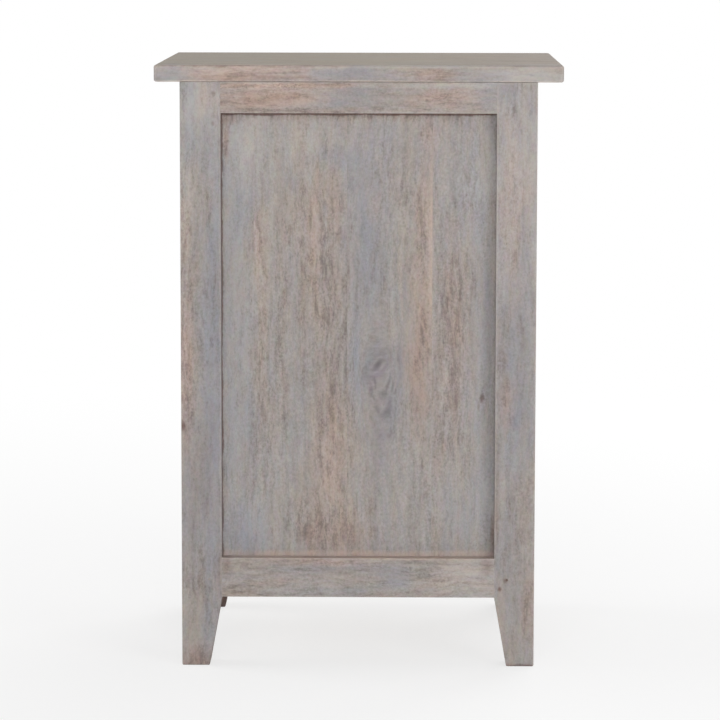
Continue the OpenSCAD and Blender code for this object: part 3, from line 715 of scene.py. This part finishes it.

# Runners, cleats and stops: plain planed strips of the same wood, left unfinished inside
# the case, with slightly darker arrises.


def make_bare_surface(figure):
    """Planed wood without a finish: light and dark streaks, pores and darker end grain."""
    tree, given, made = begin_group(
        "Bare surface", ["Vector:Vector", "Seed:Float", "Light:Color", "Dark:Color", "Pores:Color",
                         "Arris:Float", "End grain:Float"],
        ["Color:Color", "Roughness:Float", "Height:Float"])
    grain = fill_group(tree, figure, {"Vector": given["Vector"], "Seed": given["Seed"]})
    cloud = noise(tree, given["Vector"], (4.0, 20.0, 20.0), given["Seed"], detail=3.0)["Fac"]
    dark = reckon(tree, "MULTIPLY_ADD", grain["Streak"], 1.3, reckon(tree, "MULTIPLY", cloud, 0.9))
    colour = lay_over(tree, ramp(tree, dark, 0.78, 1.42), given["Light"], given["Dark"])
    light = reckon(tree, "MULTIPLY", ramp(tree, grain["Mottle"], 0.3, 0.7, 0.93, 1.06),
                   ramp(tree, given["End grain"], 0.0, 1.0, 1.0, 0.72))
    light = reckon(tree, "MULTIPLY", light, ramp(tree, given["Arris"], 0.0, 1.0, 1.0, 0.90))
    pore = reckon(tree, "MULTIPLY", grain["Pore"], 0.45)
    colour = lay_over(tree, pore, dim(tree, colour, light), given["Pores"])
    rough = ramp(tree, grain["Streak"], 0.3, 0.7, 0.72, 0.58)
    return end_group(tree, made, {"Color": colour, "Roughness": rough, "Height": grain["Height"]})


bare_surface = make_bare_surface(wood_figure)
BARE_LIGHT, BARE_DARK, BARE_PORES = tint(198, 178, 152), tint(174, 150, 123), tint(130, 104, 82)


def bare_boards(names, grain, draw, light=BARE_LIGHT, dark=BARE_DARK):
    """Bare wood on several boards with the same grain direction, each with its own pattern."""
    for node_name in names:
        low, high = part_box(node_name)
        material, tree, shader, place, along = start_material("Bare " + node_name, grain, gloss=0.35)
        worn = fill_group(tree, arris_wear, {"Vector": place, "Low": low, "High": high, "Width": 0.0012})[0]
        surface = fill_group(tree, bare_surface, {
            "Vector": along, "Seed": draw.uniform(*SEEDS), "Light": light, "Dark": dark, "Pores": BARE_PORES,
            "Arris": worn, "End grain": end_grain_share(tree, grain)})
        end_material(tree, shader, surface["Color"], surface["Roughness"], surface["Height"], 0.3, 0.0005)
        finish_board(node_name, material, EASED)


LEVELS = ("lower", "middle", "upper")
runner_draw = random.Random(17)
bare_boards([level + "_" + side + "_runner" for level in LEVELS for side in SIDES], "Y", runner_draw)
bare_boards([side + "_top_cleat" for side in SIDES], "Y", runner_draw)
bare_boards([level + "_" + side + "_stop" for level in LEVELS for side in SIDES], "Y", runner_draw)

# Tenon pins: thin round pins of dark hardwood driven through each joint from the face
# and cut flush. The wash covers those high up and towards the right side the most.
material, tree, shader, place, along = start_material("Pin wood", "Y", gloss=0.3)
point = axes_of(tree, place)
covered = ramp(tree, reckon(tree, "MULTIPLY_ADD", point["Z"], 0.5, point["X"]), -0.08, 0.12, 0.10, 0.85)
grain = fill_group(tree, wood_figure, {"Vector": along, "Seed": 2.5})
dark = lay_over(tree, ramp(tree, grain["Mottle"], 0.3, 0.7), tint(76, 58, 52), tint(106, 86, 76))
pin_colour = lay_over(tree, covered, dark, TONES["grey"][0])
pin_rough = ramp(tree, grain["Streak"], 0.3, 0.7, 0.85, 0.7)
end_material(tree, shader, pin_colour, pin_rough, grain["Height"], 0.4, 0.0004)
finish_board("tenon_pins", material)

# Screws and brads: zinc-plated steel wood screws through the runners and cleats, and
# plated steel brads under the drawer bottoms, all dulled by handling.
ZINC_BRIGHT, ZINC_DULL = tint(176, 176, 172), tint(128, 126, 122)


def plated_steel(name, grain):
    """Plated steel: a dull coat with fine turning marks and small dark stains."""
    material, tree, shader, place, along = start_material(name, grain)
    shader.inputs["Metallic"].default_value = 1.0
    stain = noise(tree, place, (900.0, 900.0, 900.0), 1.0, detail=4.0, rough=0.65)["Fac"]
    turning = noise(tree, along, (4000.0, 300.0, 300.0), 2.0)["Fac"]
    colour = lay_over(tree, ramp(tree, stain, 0.40, 0.66), ZINC_BRIGHT, ZINC_DULL)
    rough = reckon(tree, "MULTIPLY_ADD", turning, 0.15, ramp(tree, stain, 0.35, 0.7, 0.30, 0.52))
    end_material(tree, shader, colour, rough, turning, 0.3, 0.0001)
    return material


finish_board("runner_screws", plated_steel("Runner screw steel", "X"))
finish_board("top_board_screws", plated_steel("Top screw steel", "Z"))

# Drawer fronts: one board each, inset between the front rails, eased at the front and
# limed like the case. Each has half-blind dovetails at its ends.
drawer_draw = random.Random(31)
lime_boards([level + "_drawer_front" for level in LEVELS], "X", drawer_draw, scattered=7, pores=0.68)

# Drawer boxes: sides dovetailed into the front and through the back, and a thin bottom
# slid in from the rear under the back. All of it is bare planed wood.
box_draw = random.Random(9)
bare_boards([level + "_drawer_" + side + "_side" for level in LEVELS for side in SIDES], "Y", box_draw)
bare_boards([level + "_drawer_back" for level in LEVELS], "X", box_draw,
            light=tint(192, 170, 142), dark=tint(166, 141, 114))
bare_boards([level + "_drawer_bottom" for level in LEVELS], "X", box_draw,
            light=tint(204, 186, 160), dark=tint(184, 162, 134))
for level in LEVELS:
    finish_board(level + "_drawer_bottom_brads", plated_steel("Brad steel " + level, "Z"))

# Knobs: turned from the same hardwood with a foot, a neck and a domed head, limed, and
# held by a steel screw from inside the drawer.
knob_draw = random.Random(3)
for level in LEVELS:
    knob = level + "_drawer_knob"
    low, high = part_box(knob)
    rubbed_face = ("brown", 0.7, (0.0, low.y, (low.z + high.z) / 2), (0.016, 0.004, 0.016))
    material = limed_wood("Limed " + knob, "Y", knob_draw.uniform(*SEEDS), (low, high), [rubbed_face])
    finish_board(knob, material)
    finish_board(knob + "_screw", plated_steel("Knob screw steel " + level, "Y"))

# Studio: a plain white floor and backdrop, six soft lamps that face the middle of the
# nightstand, and a camera at the photograph's viewing angle.
WHITE = (1.0, 1.0, 1.0, 1.0)


def seen_plainly(tree):
    """1 for the rays of the camera, of mirrors and of glass, and 0 for the others."""
    path = place_node(tree, "LightPath").outputs
    mirrored = reckon(tree, "MAXIMUM", path["Is Glossy Ray"], path["Is Transmission Ray"])
    return reckon(tree, "MAXIMUM", path["Is Camera Ray"], mirrored)


# White paper that keeps the shadow near the nightstand and is plain white further out
bpy.ops.mesh.primitive_circle_add(vertices=96, radius=60.0, fill_type="NGON")
floor = bpy.context.object
floor.name = "Floor"
floor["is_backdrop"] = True
paper = bpy.data.materials.new("White floor")
paper.use_nodes = True
tree = paper.node_tree
tree.nodes.clear()
matt = place_node(tree, "BsdfDiffuse", {"Color": (0.9, 0.9, 0.9, 1.0)}).outputs[0]
glow = place_node(tree, "Emission", {"Color": WHITE, "Strength": 1.0}).outputs[0]
far = length_of(tree, place_node(tree, "TexCoord").outputs["Object"])
share = reckon(tree, "MULTIPLY", seen_plainly(tree), ramp(tree, far, 0.25, 2.0, 0.7, 1.0))
mixed = place_node(tree, "MixShader", {0: share, 1: matt, 2: glow}).outputs[0]
tree.links.new(mixed, place_node(tree, "OutputMaterial").inputs["Surface"])
floor.data.materials.append(paper)

# Dim light from all round, with a plain white backdrop behind the nightstand
world = bpy.data.worlds.new("Studio")
bpy.context.scene.world = world
world.use_nodes = True
tree = world.node_tree
tree.nodes.clear()
around = place_node(tree, "Background", {"Color": WHITE, "Strength": 0.28}).outputs[0]
backdrop = place_node(tree, "Background", {"Color": WHITE, "Strength": 1.0}).outputs[0]
mixed = place_node(tree, "MixShader", {0: seen_plainly(tree), 1: around, 2: backdrop}).outputs[0]
tree.links.new(mixed, place_node(tree, "OutputWorld").inputs["Surface"])

LAMP_TARGET = Vector((0, 0, 0.33))


def area_lamp(name, place, size, power):
    """Soft lamp that faces the nightstand's middle."""
    bpy.ops.object.light_add(type="AREA", location=place)
    lamp = bpy.context.object
    lamp.name = name
    lamp.data.size = size
    lamp.data.energy = power
    lamp.rotation_mode = "QUATERNION"
    lamp.rotation_quaternion = (LAMP_TARGET - Vector(place)).to_track_quat("-Z", "Y")


area_lamp("Key lamp", (-1.7, 2.1, 0.8), 1.2, 21)
area_lamp("Back lamp", (0.2, 3.4, 1.0), 1.6, 41)
area_lamp("Front lamp", (-1.2, -2.6, 1.2), 2.0, 56)
area_lamp("Right side lamp", (2.6, -0.4, 0.9), 1.6, 35)
area_lamp("Left side lamp", (-2.6, -0.6, 0.5), 1.6, 22)
area_lamp("Overhead lamp", (0.0, 0.0, 2.6), 2.0, 6)

# Camera fitted to the photograph's lines: its lens, its place, and its right and up directions
camera_data = bpy.data.cameras.new("Camera")
camera_data.sensor_width = 36
camera_data.lens = 171.678
camera_data.clip_end = 200
camera = bpy.data.objects.new("Camera", camera_data)
bpy.context.scene.collection.objects.link(camera)
camera_place = Vector((-0.04821461, 3.55031360, 0.73333689))
right = Vector((-0.99990147, -0.0139545, 0.00152183))
up = Vector((0.00325053, -0.12471015, 0.99218789))
turn = Matrix((right, up, right.cross(up))).transposed()
camera.matrix_world = Matrix.Translation(camera_place) @ turn.to_4x4()
bpy.context.scene.camera = camera
bpy.context.scene.view_settings.view_transform = "Standard"

low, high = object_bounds()
